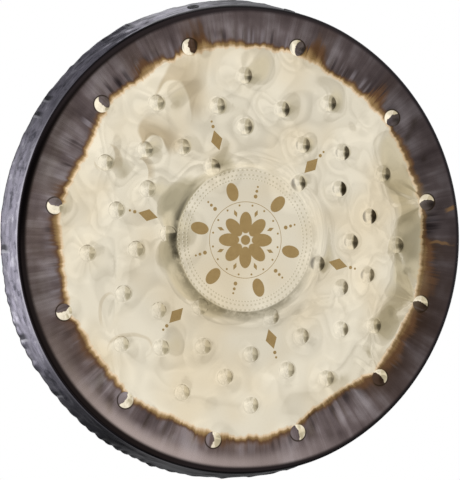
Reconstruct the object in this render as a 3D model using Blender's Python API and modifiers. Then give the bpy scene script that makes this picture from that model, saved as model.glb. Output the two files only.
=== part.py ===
"""A hammered bronze gong with a raised boss, a rounded shoulder and a turned-back flange.

Metres, +Z up. The gong stands upright and its face looks along -Y. The origin is the
middle of the boss's flat front. The sheet is one piece; a rubber grommet sits in each of
its two hanging holes.
"""

import math

import bmesh
import bpy
from mathutils import Matrix, Vector
from mathutils.geometry import delaunay_2d_cdt

# Driving dimensions
RIM_RADIUS = 0.400  # where the shoulder has turned fully back
SHEET = 0.0016  # thickness of the bronze
FLANGE_DEPTH = 0.065  # from the shoulder's front plane to the rear edge
FLANGE_FLARE = math.radians(13.0)  # the flange opens outwards towards the back
SHOULDER_BEND = 0.0145  # outside radius of the shoulder
GAP = 0.0003  # clearance between the grommets and the sheet

# Boss, dish and ring, as fractions of the rim radius and heights along the axis
BOSS_EDGE = 0.305 * RIM_RADIUS
BOSS_FOOT = 0.375 * RIM_RADIUS
BOSS_HEIGHT = 0.006
DISH_EDGE = 0.68 * RIM_RADIUS
RING_CREST = 0.88 * RIM_RADIUS
RING_RISE = 0.0045
RING_OUTER = 0.92 * RIM_RADIUS
RING_FALL = 0.005

# Ball-hammer dents
DENT_BALL = 0.025
DENT_DEPTH = 0.004
DENT_MID = 0.6  # radius of a dent's middle circle, as a share of its full radius
DENT_SIDES = 10
DENT_MID_SIDES = 6
# Each circle of dents: its radius over the rim radius, and the clock angles of its dents
DENT_CIRCLES = (
    (0.345, (44, 106, 159, 215, 274, 334)),
    (0.485, (359, 32, 62, 90, 114, 147, 176, 202, 232, 265, 296, 324)),
    (0.585, (16, 49, 79, 104, 130, 160, 188, 219, 247, 282, 310, 347)),
    (0.700, (359, 32, 65, 91, 121, 147, 177, 203, 231, 265, 297, 325)),
    (0.855, (15, 51, 78, 108, 133, 163, 189, 218, 249, 279, 311, 342)),
)
DENT_SHIFT = Vector((0.0015, -0.0010))  # the dents' circles aren't quite about the boss

# The flange's rear edge is beaten in and out
WAVE_SIZE = 0.0016
WAVE_START = 0.040  # along the flange from the shoulder
WAVES = ((9, 0.7, 0.6), (13, 2.1, 0.4))  # lobes, phase, share
EDGE_TRIM = 0.0015  # ground off the rear edge, so that it is flat

# Hanging holes and their grommets
HOLE_ANGLE = math.radians(12.5)  # each side of the top
HOLE_RADIUS = 0.0070
HOLE_PLACE = 0.020  # along the flange from the shoulder
BORE_RADIUS = 0.0050
LIP_RADIUS = 0.0100
LIP = 0.0015  # thickness of each of a grommet's two lips

# Mesh fineness
FACE_SIDES = 60
RIM_SIDES = 72
BEND_STEPS = 4
GROMMET_SIDES = 24

TAU = 2 * math.pi
BEND_TURN = math.pi / 2 - FLANGE_FLARE
BEND_CENTRE = RIM_RADIUS - SHOULDER_BEND
BEND_LENGTH = SHOULDER_BEND * BEND_TURN
SHOULDER_PLANE = BOSS_HEIGHT - RING_RISE + RING_FALL
DENT_RADIUS = math.sqrt(DENT_BALL**2 - (DENT_BALL - DENT_DEPTH) ** 2)
BEND_END = Vector(
    (
        BEND_CENTRE + SHOULDER_BEND * math.sin(BEND_TURN),
        SHOULDER_PLANE + SHOULDER_BEND * (1 - math.cos(BEND_TURN)),
    )
)
REAR_PLANE = SHOULDER_PLANE + FLANGE_DEPTH
FLANGE_LENGTH = (REAR_PLANE + EDGE_TRIM - BEND_END.y) / math.cos(FLANGE_FLARE)


def ease(value, start, end):
    """0 before start, 1 after end, and a smooth step between."""
    share = min(max((value - start) / (end - start), 0.0), 1.0)
    return share * share * (3 - 2 * share)


def face_depth(radius):
    """Distance of the undented face behind the boss's front."""
    left = 1 - min(max((radius - BOSS_EDGE) / (BOSS_FOOT - BOSS_EDGE), 0.0), 1.0)
    depth = BOSS_HEIGHT * ease(1 - left**2, 0.0, 1.0)
    depth -= RING_RISE * ease(radius, DISH_EDGE, RING_CREST)
    depth += RING_FALL * ease(radius, RING_OUTER, BEND_CENTRE)
    return depth


def meridian(reach):
    """Radius and depth of the sheet's outer side, reach metres along it from the axis."""
    if reach <= BEND_CENTRE:
        return reach, face_depth(reach)
    if reach <= BEND_CENTRE + BEND_LENGTH:
        turn = (reach - BEND_CENTRE) / SHOULDER_BEND
        radius = BEND_CENTRE + SHOULDER_BEND * math.sin(turn)
        return radius, SHOULDER_PLANE + SHOULDER_BEND * (1 - math.cos(turn))
    along = reach - BEND_CENTRE - BEND_LENGTH
    radius = BEND_END.x + along * math.sin(FLANGE_FLARE)
    return radius, BEND_END.y + along * math.cos(FLANGE_FLARE)


def wave(reach, angle):
    """How far the beaten flange stands out of its cone."""
    along = reach - BEND_CENTRE - BEND_LENGTH
    share = max(along - WAVE_START, 0.0) / (FLANGE_LENGTH - WAVE_START)
    lobes = sum(part * math.sin(count * angle + phase) for count, phase, part in WAVES)
    return WAVE_SIZE * share**2 * lobes


def clock(angle, radius):
    """A point on the face, by its angle clockwise from the top as seen from the front."""
    return Vector((radius * math.sin(angle), radius * math.cos(angle)))


def dent_centres():
    for circle, hours in DENT_CIRCLES:
        for hour in hours:
            yield clock(math.radians(hour), circle * RIM_RADIUS) + DENT_SHIFT


def dent_depth(place, centres):
    """How deep the ball has pressed the sheet in at a point of the face."""
    depth = 0.0
    for centre in centres:
        off = (place - centre).length
        if off < DENT_RADIUS:
            depth = max(depth, math.sqrt(DENT_BALL**2 - off**2) - DENT_BALL + DENT_DEPTH)
    return depth


def circle_points(radius, sides):
    return [clock(TAU * side / sides, radius) for side in range(sides)]


def sheet_points(centres):
    """The flat layout of the sheet: circles about the axis, and circles about each dent."""
    wall = [BOSS_EDGE + (BOSS_FOOT - BOSS_EDGE) * step / 4 for step in range(-1, 6)]
    dish = [share * RIM_RADIUS for share in (0.43, 0.535, 0.64)]
    rise = [DISH_EDGE + (RING_CREST - DISH_EDGE) * step / 3 for step in range(4)]
    points = [Vector((0.0, 0.0))]
    for radius in wall + dish + rise:
        points += circle_points(radius, FACE_SIDES)
    bend = [BEND_CENTRE + BEND_LENGTH * step / BEND_STEPS for step in range(BEND_STEPS + 1)]
    flange = [
        BEND_CENTRE + BEND_LENGTH + along
        for along in (WAVE_START, (WAVE_START + FLANGE_LENGTH) / 2, FLANGE_LENGTH)
    ]
    for radius in [RING_OUTER] + bend + flange:
        points += circle_points(radius, RIM_SIDES)
    clear = DENT_RADIUS * 1.15
    points = [p for p in points if all((p - c).length > clear for c in centres)]
    for centre in centres:
        points.append(centre)
        points += [centre + p for p in circle_points(DENT_RADIUS * DENT_MID, DENT_MID_SIDES)]
        points += [centre + p for p in circle_points(DENT_RADIUS, DENT_SIDES)]
    return points


def link(mesh, name, collection):
    made = bpy.data.objects.new(name, mesh)
    collection.objects.link(made)
    return made


def sheet_surface(collection):
    """The sheet's front and outer side: the flat layout, joined up and bent to its shape."""
    centres = list(dent_centres())
    flat, _, faces, *_ = delaunay_2d_cdt(sheet_points(centres), [], [], 0, 1e-6)
    shape = []
    for place in flat:
        reach = place.length
        angle = math.atan2(place.x, place.y)
        radius, depth = meridian(reach)
        radius += wave(reach, angle)
        depth += dent_depth(place, centres)
        shape.append((radius * math.sin(angle), depth, radius * math.cos(angle)))
    mesh = bpy.data.meshes.new("gong_plate")
    mesh.from_pydata(shape, [], faces)
    return link(mesh, "gong_plate", collection)


def cutter(made):
    made.hide_render = True
    made.display_type = "WIRE"
    return made


def cylinder(name, radius, length, matrix, sides, collection):
    mesh = bpy.data.meshes.new(name)
    drum = bmesh.new()
    bmesh.ops.create_cone(
        drum,
        cap_ends=True,
        segments=sides,
        radius1=radius,
        radius2=radius,
        depth=length,
        matrix=matrix,
    )
    drum.to_mesh(mesh)
    drum.free()
    return link(mesh, name, collection)


def cut(target, tool):
    modifier = target.modifiers.new(f"cut_{tool.name}", "BOOLEAN")
    modifier.operation = "DIFFERENCE"
    modifier.solver = "EXACT"
    modifier.object = tool


def hole_frame(side):
    """Place and direction of a hanging hole: +Z leaves the sheet, square to the flange."""
    radius, depth = meridian(BEND_CENTRE + BEND_LENGTH + HOLE_PLACE)
    flat_radius = radius * math.cos(math.pi / RIM_SIDES)  # the flange's flat lies inside its circle
    return (
        Matrix.Rotation(side * HOLE_ANGLE, 4, "Y")
        @ Matrix.Translation((0.0, depth, flat_radius))
        @ Matrix.Rotation(FLANGE_FLARE, 4, "X")
    )


def grommet(name, frame, collection):
    """A turned rubber ring: two lips and a groove that holds the sheet's edge."""
    top = GAP + LIP
    bottom = -(SHEET + GAP + LIP)
    neck = HOLE_RADIUS - GAP
    profile = (
        (BORE_RADIUS, top),
        (LIP_RADIUS, top),
        (LIP_RADIUS, GAP),
        (neck, GAP),
        (neck, -(SHEET + GAP)),
        (LIP_RADIUS, -(SHEET + GAP)),
        (LIP_RADIUS, bottom),
        (BORE_RADIUS, bottom),
    )
    mesh = bpy.data.meshes.new(name)
    corners = [(radius, 0.0, height) for radius, height in profile]
    sides = [(first, (first + 1) % len(corners)) for first in range(len(corners))]
    mesh.from_pydata(corners, sides, [])
    made = link(mesh, name, collection)
    made.matrix_world = frame
    turn = made.modifiers.new("turn", "SCREW")
    turn.axis = "Z"
    turn.steps = GROMMET_SIDES
    turn.render_steps = GROMMET_SIDES
    turn.use_merge_vertices = True
    turn.merge_threshold = 0.00005
    return made


def material(name, colour, metallic, roughness):
    made = bpy.data.materials.new(name)
    made.use_nodes = True
    shader = made.node_tree.nodes["Principled BSDF"]
    shader.inputs["Base Color"].default_value = (*colour, 1.0)
    shader.inputs["Metallic"].default_value = metallic
    shader.inputs["Roughness"].default_value = roughness
    return made


def gong_plate(parts, cutters):
    plate = sheet_surface(parts)
    plate.data.shade_smooth()
    plate.data.materials.append(material("bronze", (0.72, 0.62, 0.42), 1.0, 0.32))
    solid = plate.modifiers.new("thickness", "SOLIDIFY")
    solid.thickness = SHEET
    solid.offset = -1.0
    solid.use_even_offset = True
    for name, side in (("left_hole", -1), ("right_hole", 1)):
        tool = cylinder(
            name, HOLE_RADIUS, 8 * SHEET, hole_frame(side), GROMMET_SIDES, cutters
        )
        cut(plate, cutter(tool))
    behind = Matrix.Translation((0.0, REAR_PLANE + EDGE_TRIM, 0.0)) @ Matrix.Rotation(
        math.pi / 2, 4, "X"
    )
    trim = cylinder(
        "rear_trim", RIM_RADIUS * 1.2, 2 * EDGE_TRIM, behind, RIM_SIDES, cutters
    )
    cut(plate, cutter(trim))
    return plate


def grommets(parts):
    rubber = material("rubber", (0.10, 0.10, 0.11), 0.0, 0.6)
    for name, side in (("grommet_left", -1), ("grommet_right", 1)):
        made = grommet(name, hole_frame(side), parts)
        made.data.materials.append(rubber)


def collection(name):
    made = bpy.data.collections.new(name)
    bpy.context.scene.collection.children.link(made)
    return made


def main():
    for old in list(bpy.data.objects):
        bpy.data.objects.remove(old, do_unlink=True)
    parts = collection("gong")
    cutters = collection("cutters")
    gong_plate(parts, cutters)
    grommets(parts)


main()
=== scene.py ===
"""The looks of a hammered bronze gong: polished face, oxidised ring, beaten flange.

Metres, +Z up; the gong's face looks along -Y and its boss's front is at the origin.
The sheet's sizes repeat the model's own, but its shoulder lies a little in front.
"""
import math
from types import SimpleNamespace

import bpy
import numpy as np
from mathutils import Matrix, Vector
from mathutils.geometry import delaunay_2d_cdt


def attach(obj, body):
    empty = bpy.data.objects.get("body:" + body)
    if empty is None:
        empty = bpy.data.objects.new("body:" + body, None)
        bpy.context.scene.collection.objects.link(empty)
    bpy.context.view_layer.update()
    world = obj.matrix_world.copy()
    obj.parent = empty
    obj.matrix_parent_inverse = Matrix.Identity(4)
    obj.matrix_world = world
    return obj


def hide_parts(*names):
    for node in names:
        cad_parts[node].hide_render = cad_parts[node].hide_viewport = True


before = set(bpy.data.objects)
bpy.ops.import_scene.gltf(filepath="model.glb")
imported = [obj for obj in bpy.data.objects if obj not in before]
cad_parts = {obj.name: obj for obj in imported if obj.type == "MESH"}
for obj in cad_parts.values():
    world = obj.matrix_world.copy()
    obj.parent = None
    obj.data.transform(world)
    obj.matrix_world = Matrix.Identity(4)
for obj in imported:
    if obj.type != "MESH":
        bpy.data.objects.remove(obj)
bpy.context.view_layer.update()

# Driving dimensions of the sheet
RIM_RADIUS = 0.400
SHEET = 0.0016
FLANGE_DEPTH = 0.065
FLANGE_FLARE = math.radians(13.0)
SHOULDER_BEND = 0.0145
BOSS_EDGE = 0.305 * RIM_RADIUS
BOSS_FOOT = 0.375 * RIM_RADIUS
BOSS_HEIGHT = 0.006
DISH_EDGE = 0.68 * RIM_RADIUS
RING_CREST = 0.88 * RIM_RADIUS
RING_RISE = 0.0045
RING_OUTER = 0.92 * RIM_RADIUS
RING_FALL = 0.001
SHOULDER_LIFT = 0.004  # the shoulder lies this much in front of the model's

# Ball-hammer dents
DENT_BALL = 0.025
DENT_DEPTH = 0.004
DENT_CIRCLES = (
    (0.345, (44, 106, 159, 215, 274, 334)),
    (0.485, (359, 32, 62, 90, 114, 147, 176, 202, 232, 265, 296, 324)),
    (0.585, (16, 49, 79, 104, 130, 160, 188, 219, 247, 282, 310, 347)),
    (0.700, (359, 32, 65, 91, 121, 147, 177, 203, 231, 265, 297, 325)),
    (0.855, (15, 51, 78, 108, 133, 163, 189, 218, 249, 279, 311, 342)),
)
OUTERMOST = len(DENT_CIRCLES) - 1
DENT_SHIFT = np.array((0.0015, -0.0010))
STRUCK = (0.57, 0.72)  # a dent's depth as a share of the full one, a quarter turn from the deepest
STRUCK_SWING = 0.30  # this much more at the deepest and less opposite
DENT_KNEE = 0.83  # where a dent's bowl turns into its lip, as a share of its radius
OUTER_DENT_KNEE = 0.92
PULL = (0.0014, 0.0030)  # how far a dent pulls the sheet in around it, and how far out
PULL_REACH = (0.022, 0.034)
RIPPLE = 0.00007
RIPPLE_LENGTH = 0.0075
RIPPLE_FADE = 0.009
DEEPEST_DENTS = math.radians(40)  # clock angle of the dents that were struck hardest
CALM_SIDE = math.radians(195)  # the sheet is smoothest here
UPPER_LEFT = 305  # degrees; the dents pull the sheet in most here
SCALLOPED_SIDE = math.radians(226)  # the flange's rear edge is most scalloped here
# Broad hollows, and one swelling, on the left: clock angle in degrees, radius in rim radii,
# depth, width
HOLLOWS = (
    (303, 0.745, 0.0020, 0.034),
    (246, 0.470, 0.0010, 0.040),
    (299, 0.355, 0.0012, 0.030),
    (299, 0.470, -0.0012, 0.030),
)
# Straight ridges pulled up between dents: both ends across and above in metres, height
RIDGES = (
    ((0.3165, -0.1037), (0.2921, -0.0478), 0.0014),
    ((0.2921, -0.0478), (0.2806, -0.0150), 0.0009),
    ((0.3125, -0.1075), (0.2716, -0.1267), 0.0015),
    ((0.2350, -0.2300), (0.2330, -0.0850), 0.0004),
    ((-0.2248, -0.0960), (-0.2337, -0.1630), 0.0005),
    ((-0.2314, -0.1799), (-0.2226, -0.2700), 0.0004),
    ((-0.2270, -0.0300), (-0.2240, -0.0740), 0.0005),
    ((0.0914, -0.1324), (0.1330, -0.1020), 0.0006),
    ((0.1330, -0.1020), (0.1720, -0.0960), 0.0006),
    ((0.0980, -0.1400), (0.1560, -0.1160), 0.0005),
)
RIDGE_WIDTH = 0.0060  # where it falls to about a third of its height
# The trough on the right: its depth, and the wave along its near side, whose crest and
# length are in degrees round the clock and whose swing is in rim radii
VALLEY_DEPTH = 0.0050
VALLEY_CREST = 78
VALLEY_WAVE = 28
VALLEY_SWING = 0.030
RIGHT_BULGE = 0.0036  # the shoulder is beaten out this much farther on the right

# Soft planishing lumps: how many, their height and width, the radii that they lie between
WIDE_LUMPS = (50, 0.0013, 0.055, BOSS_FOOT, 0.9 * RIM_RADIUS)
SMALL_LUMPS = (200, 0.0007, 0.027, BOSS_FOOT, 0.92 * RIM_RADIUS)
BOSS_LUMPS = (14, 0.0003, 0.045, 0.0, BOSS_EDGE)
# Hammer marks that overlap on the flange, sharp laps at its rear edge and folds in the ring
SCALES = 520
SCALE_LENGTHS = (0.010, 0.024)
SCALE_WIDTHS = (0.006, 0.012)
SCALE_DEPTHS = (0.0002, 0.0009)
CREASES = 38
CREASE_LENGTHS = (0.012, 0.032)
CREASE_HEIGHTS = (0.0005, 0.0016)
FOLDS = 90
FOLD_WIDTHS = (0.004, 0.010)
# The flange's rear edge: long waves, short scallops and notches
WAVE_HEIGHT = 0.0014
SCALLOP_HEIGHT = 0.0020
NOTCH_DEPTH = 0.0006

# Where the polish ends at the outer dents, and how far it bows in after each of them, in rim radii
POLISH_REACH = 0.832
POLISH_BOWS = (0.020, 0.014, 0.012, 0.014, 0.050, -0.008, 0.014, 0.020, 0.020, 0.036, 0.006, 0.008)

# Hanging holes and grommets
HOLE_ANGLE = math.radians(12.5)
HOLE_RADIUS = 0.0070
HOLE_PLACE = 0.020  # along the flange from its bend
FACETS = 72  # sides of the model's flange
BORE_RADIUS = 0.0050
LIP_RADIUS = 0.0100
LIP = 0.0015
GAP = 0.0003
LIP_ROUND = 0.0007
GROOVE_ROUND = 0.0002
NECK_ROUND = 0.0001
GROMMET_SIDES = 64

TAU = 2 * math.pi
BEND_TURN = math.pi / 2 - FLANGE_FLARE
BEND_CENTRE = RIM_RADIUS - SHOULDER_BEND - SHOULDER_LIFT * math.tan(FLANGE_FLARE)
BEND_LENGTH = SHOULDER_BEND * BEND_TURN
FLANGE_START = BEND_CENTRE + BEND_LENGTH
SHOULDER_PLANE = BOSS_HEIGHT - RING_RISE + RING_FALL
DENT_RADIUS = math.sqrt(DENT_BALL**2 - (DENT_BALL - DENT_DEPTH) ** 2)
BEND_END_DEPTH = SHOULDER_PLANE + SHOULDER_BEND * (1 - math.cos(BEND_TURN))
REAR_PLANE = SHOULDER_PLANE + SHOULDER_LIFT + FLANGE_DEPTH
HOLE_REACH = FLANGE_START + HOLE_PLACE + SHOULDER_LIFT / math.cos(FLANGE_FLARE)
EDGE_INSET = 0.0012  # the beaten rear edge wanders forward from the rear plane by this much
FLANGE_LENGTH = (REAR_PLANE - EDGE_INSET - BEND_END_DEPTH) / math.cos(FLANGE_FLARE)
SHEET_END = FLANGE_START + FLANGE_LENGTH

# The photograph's frame and the camera in it, in rim radii, degrees and pixels
FRAME_HEIGHT = 480
FRAME_MIDDLE = 230  # half the frame's width
CAMERA_AZIMUTH = math.radians(20.08)
CAMERA_ELEVATION = math.radians(0.27)
CAMERA_ROLL = math.radians(0.84)
CAMERA_DISTANCE = 12 * RIM_RADIUS
FOCAL_PIXELS = 2828.3
BOSS_PIXEL = 245.6  # how far to the right the boss's middle is
SENSOR = 36.0


def ease(value, start, end):
    share = np.clip((value - start) / (end - start), 0.0, 1.0)
    return share * share * (3 - 2 * share)


def round_from(hour, angle):
    """How far round the clock each angle is from an hour, from minus to plus half a turn."""
    return np.mod(angle - hour + math.pi, TAU) - math.pi


def clock(angle, radius):
    """x and z of a point by its angle clockwise from the top, seen from the front."""
    return np.stack([radius * np.sin(angle), radius * np.cos(angle)], axis=-1)


def placed(name, data):
    """A new object of the scene that holds the data."""
    made = bpy.data.objects.new(name, data)
    bpy.context.scene.collection.objects.link(made)
    return made


# The sheet's shape

def face_depth(radius):
    left = 1 - np.clip((radius - BOSS_EDGE) / (BOSS_FOOT + 0.004 - BOSS_EDGE), 0.0, 1.0)
    depth = BOSS_HEIGHT * (1 - left**2.2)
    depth = depth - RING_RISE * ease(radius, DISH_EDGE, RING_CREST)
    return depth + RING_FALL * ease(radius, RING_OUTER, BEND_CENTRE)


def lean(reach):
    """How far the outer side's normal has turned from the face's towards the radius."""
    return np.clip((reach - BEND_CENTRE) / SHOULDER_BEND, 0.0, BEND_TURN)


def meridian(reach):
    """Radius and depth of the outer side, reach metres along the sheet from the axis."""
    turn = lean(reach)
    along = np.maximum(reach - FLANGE_START, 0.0)
    radius = np.minimum(reach, BEND_CENTRE) + SHOULDER_BEND * np.sin(turn)
    radius = radius + along * math.sin(FLANGE_FLARE)
    depth = face_depth(np.minimum(reach, BEND_CENTRE)) + SHOULDER_BEND * (1 - np.cos(turn))
    return radius, depth + along * math.cos(FLANGE_FLARE)


def dents():
    """Centre, clock angle and circle number of every dent."""
    found = []
    for number, (circle, hours) in enumerate(DENT_CIRCLES):
        for hour in hours:
            angle = math.radians(hour)
            found.append((clock(angle, circle * RIM_RADIUS) + DENT_SHIFT, angle, number))
    return found


DENTS = dents()


def dent_shape(share, knee):
    """Depth of a dent, as a share of its deepest, at a share of its radius."""
    slope = 2 * knee
    left = 1 - knee**2
    end = knee + 2 * left / slope
    bowl = 1 - share**2
    lip = left * ((end - share) / (end - knee)) ** 2
    return np.where(share < knee, bowl, np.where(share < end, lip, 0.0))


def hammered_depth(places, random):
    """What the hammer adds to the face's depth: dents, the sheet they pull in, and ripples."""
    added = np.zeros(len(places))
    for centre, angle, number in DENTS:
        off = np.hypot(*(places - centre).T)
        share = off / DENT_RADIUS
        struck = random.uniform(*STRUCK) + STRUCK_SWING * math.cos(angle - DEEPEST_DENTS)
        knee = OUTER_DENT_KNEE if number == OUTERMOST else DENT_KNEE
        added += DENT_DEPTH * struck * dent_shape(share, knee)
        upper_left = math.exp(-((math.degrees(angle) - UPPER_LEFT) / 40) ** 2)
        calm = 1 - 0.55 * float(ease(math.cos(angle - CALM_SIDE), 0.2, 0.9))
        pull = random.uniform(*PULL) * (1 + 0.9 * upper_left) * calm
        reach = random.uniform(*PULL_REACH) * (1 + 0.3 * upper_left)
        added += pull * np.exp(-((off / reach) ** 2))
        beyond = np.maximum(off - DENT_RADIUS, 0.0)
        ripple = RIPPLE * np.exp(-beyond / RIPPLE_FADE) * np.cos(TAU * beyond / RIPPLE_LENGTH)
        added -= ripple * (share > 1.09)
    return added


def right_valley(places):
    """The trough beside the ring on the right, its near side wavy: more depth."""
    radius = np.hypot(*places.T) / RIM_RADIUS
    angle = np.degrees(np.arctan2(places[:, 0], places[:, 1]))
    window = ease(angle, 42, 66) * (1 - ease(angle, 112, 136))
    wave = np.cos(np.radians((angle - VALLEY_CREST) * 360 / VALLEY_WAVE))
    start = 0.655 + VALLEY_SWING * wave
    rise = ease(radius, start, start + 0.19)
    return VALLEY_DEPTH * window * (ease(radius, 0.48, 0.62) - rise)


def ridges(places):
    """How far the ridges between dents stand up from the face."""
    height = np.zeros(len(places))
    for start, end, rise in RIDGES:
        start = np.array(start)
        run = np.array(end) - start
        length = math.hypot(*run)
        run = run / length
        along = (places - start) @ run / length
        off = (places - start) @ np.array((-run[1], run[0]))
        off = off + 0.003 * np.sin(2.4 * along)
        taper = ease(along, -0.05, 0.20) * (1 - ease(along, 0.80, 1.05))
        height += rise * taper * np.exp(-np.abs(off) / RIDGE_WIDTH)
    return height


def hollows(places):
    added = np.zeros(len(places))
    for hour, circle, depth, width in HOLLOWS:
        off = np.hypot(*(places - clock(math.radians(hour), circle * RIM_RADIUS)).T)
        added += depth * np.exp(-((off / width) ** 2))
    return added


def lumps(places, random, count, size, width, lowest, highest):
    """Soft planishing lumps between two radii."""
    radii = np.sqrt(random.uniform(lowest**2, highest**2, count))
    middles = clock(random.uniform(0, TAU, count), radii)
    heights = random.normal(0, size, count)
    widths = random.uniform(0.7, 1.4, count) * width
    added = np.zeros(len(places))
    for middle, height, spread in zip(middles, heights, widths):
        off = np.hypot(*(places - middle).T)
        added += height * np.exp(-((off / spread) ** 2))
    return added


def scales(reach, angle, random):
    """The flange's overlapping hammer marks: how far the sheet is beaten in."""
    deepest = np.zeros(len(reach))
    rows = random.uniform(FLANGE_START + 0.006, SHEET_END, SCALES)
    hours = random.uniform(0, TAU, SCALES)
    longs = random.uniform(*SCALE_LENGTHS, SCALES)
    shorts = random.uniform(*SCALE_WIDTHS, SCALES)
    tilts = random.normal(0.25, 0.35, SCALES)
    depths = random.uniform(*SCALE_DEPTHS, SCALES)
    for row, hour, long, short, tilt, depth in zip(rows, hours, longs, shorts, tilts, depths):
        across = round_from(hour, angle) * RIM_RADIUS
        down = reach - row
        first = across * math.cos(tilt) + down * math.sin(tilt)
        second = down * math.cos(tilt) - across * math.sin(tilt)
        bowl = 1 - (first / long) ** 2 - (second / short) ** 2
        deepest = np.maximum(deepest, depth * bowl)
    return deepest


def creases(reach, angle, random):
    """Sharp laps left at the rear edge by the hammer: how far the sheet stands out."""
    raised = np.zeros(len(reach))
    steps = random.uniform(0.10, 0.24, CREASES)
    hours = np.cumsum(steps / steps.sum() * TAU)
    for hour in hours:
        across = round_from(hour, angle) * RIM_RADIUS
        start = SHEET_END - random.uniform(*CREASE_LENGTHS)
        along = np.clip((reach - start) / (SHEET_END - start), 0, 1)
        near = np.exp(-np.maximum(across, 0) / 0.0022) * np.exp(np.minimum(across, 0) / 0.016)
        raised += random.uniform(*CREASE_HEIGHTS) * along * near
    return raised


def folds(reach, angle, random):
    """Radial folds that the hammer leaves in the oxidised ring: more depth."""
    added = np.zeros(len(reach))
    hours = random.uniform(0, TAU, FOLDS)
    tilts = random.normal(0, 0.35, FOLDS)
    widths = random.uniform(*FOLD_WIDTHS, FOLDS)
    for hour, tilt, width in zip(hours, tilts, widths):
        across = round_from(hour, angle) * RING_CREST
        across = across + (reach - RING_CREST) * tilt
        inner = random.uniform(0.80, 0.86) * RIM_RADIUS
        outer = random.uniform(0.90, 0.96) * RIM_RADIUS
        window = ease(reach, inner, inner + 0.012) * (1 - ease(reach, outer - 0.016, outer))
        added += random.normal(0, 0.10) * width * window * np.exp(-((across / width) ** 2))
    return added


def near_holes(reach, angle):
    """1 round the hanging holes, where the sheet is left flat for the grommets, else 0."""
    close = np.zeros(len(reach))
    for side in (-1, 1):
        across = round_from(side * HOLE_ANGLE, angle) * RIM_RADIUS
        off = np.hypot(across, reach - HOLE_REACH)
        close = np.maximum(close, 1 - ease(off, 1.2 * LIP_RADIUS, 2.2 * LIP_RADIUS))
    return close


# The sheet's layout: points in the flat, joined into triangles

def sunflower(lowest, highest, spacing):
    """Evenly spread points between two radii."""
    golden = math.pi * (3 - math.sqrt(5))
    area = spacing**2 * math.sqrt(3) / 2
    first = int(lowest**2 / area * math.pi)
    last = int(highest**2 / area * math.pi)
    index = np.arange(first, last) + 0.5
    return clock(index * golden, np.sqrt(index * area / math.pi))


def ring(radius, sides, phase=0.0):
    return clock((np.arange(sides) + phase) * TAU / sides, radius)


def layout():
    fills = [
        sunflower(0.0, BOSS_EDGE - 0.006, 0.0060),
        sunflower(BOSS_FOOT + 0.006, BEND_CENTRE - 0.004, 0.0052),
        sunflower(FLANGE_START + 0.004, SHEET_END - 0.002, 0.0041),
    ]
    wall = np.linspace(BOSS_EDGE - 0.004, BOSS_FOOT + 0.004, 15)
    fills += [ring(radius, 200, step % 2 / 2) for step, radius in enumerate(wall)]
    keep = np.concatenate(fills)
    clear = np.full(len(keep), np.inf)
    for centre, _, _ in DENTS:
        clear = np.minimum(clear, np.hypot(*(keep - centre).T))
    keep = keep[clear > 1.9 * DENT_RADIUS]
    parts = [keep]
    bend = np.linspace(BEND_CENTRE, FLANGE_START, 12)
    parts += [ring(radius, 480, step % 2 / 2) for step, radius in enumerate(bend)]
    parts.append(ring(SHEET_END, 620))
    shares = (0.2, 0.4, 0.6, 0.78, 0.92, 1.0, 1.09, 1.25, 1.5, 1.8)
    for centre, _, _ in DENTS:
        parts.append(centre[None])
        for step, share in enumerate(shares):
            sides = min(8 + int(24 * share), 32)
            parts.append(centre + ring(share * DENT_RADIUS, sides, step % 2 / 2))
    points = np.concatenate(parts)
    around = []
    for side in (-1, 1):
        centre = clock(side * HOLE_ANGLE, HOLE_REACH)
        off = np.hypot(*(points - centre).T)
        points = points[off > HOLE_RADIUS * 1.3]
        around.append(centre + ring(HOLE_RADIUS, 32))
    return np.concatenate([points] + around)


def hole_faces(points, faces):
    """The faces of the layout that don't lie in a hanging hole."""
    corners = np.array(faces)
    middles = points[corners].mean(axis=1)
    keep = np.ones(len(corners), bool)
    for side in (-1, 1):
        centre = clock(side * HOLE_ANGLE, HOLE_REACH)
        keep &= np.hypot(*(middles - centre).T) > HOLE_RADIUS * 0.98
    return corners[keep]


def polish_edge(angle):
    """Radius where the polished face ends: drawn out at the outer dents, bowed in between."""
    ends = np.sort(np.radians(DENT_CIRCLES[-1][1]))
    ends = np.append(ends, ends[0] + TAU)
    wanted = np.mod(angle - ends[0], TAU) + ends[0]
    step = np.clip(np.searchsorted(ends, wanted, side="right") - 1, 0, len(POLISH_BOWS) - 1)
    share = (wanted - ends[step]) / (ends[step + 1] - ends[step])
    bow = np.array(POLISH_BOWS)[step]
    return (POLISH_REACH - 4 * bow * share * (1 - share)) * RIM_RADIUS


def add_attribute(mesh, name, values):
    kind = "FLOAT" if values.ndim == 1 else "FLOAT_VECTOR"
    made = mesh.attributes.new(name, kind, "POINT")
    field = "value" if kind == "FLOAT" else "vector"
    made.data.foreach_set(field, values.astype(np.float32).ravel())


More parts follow.
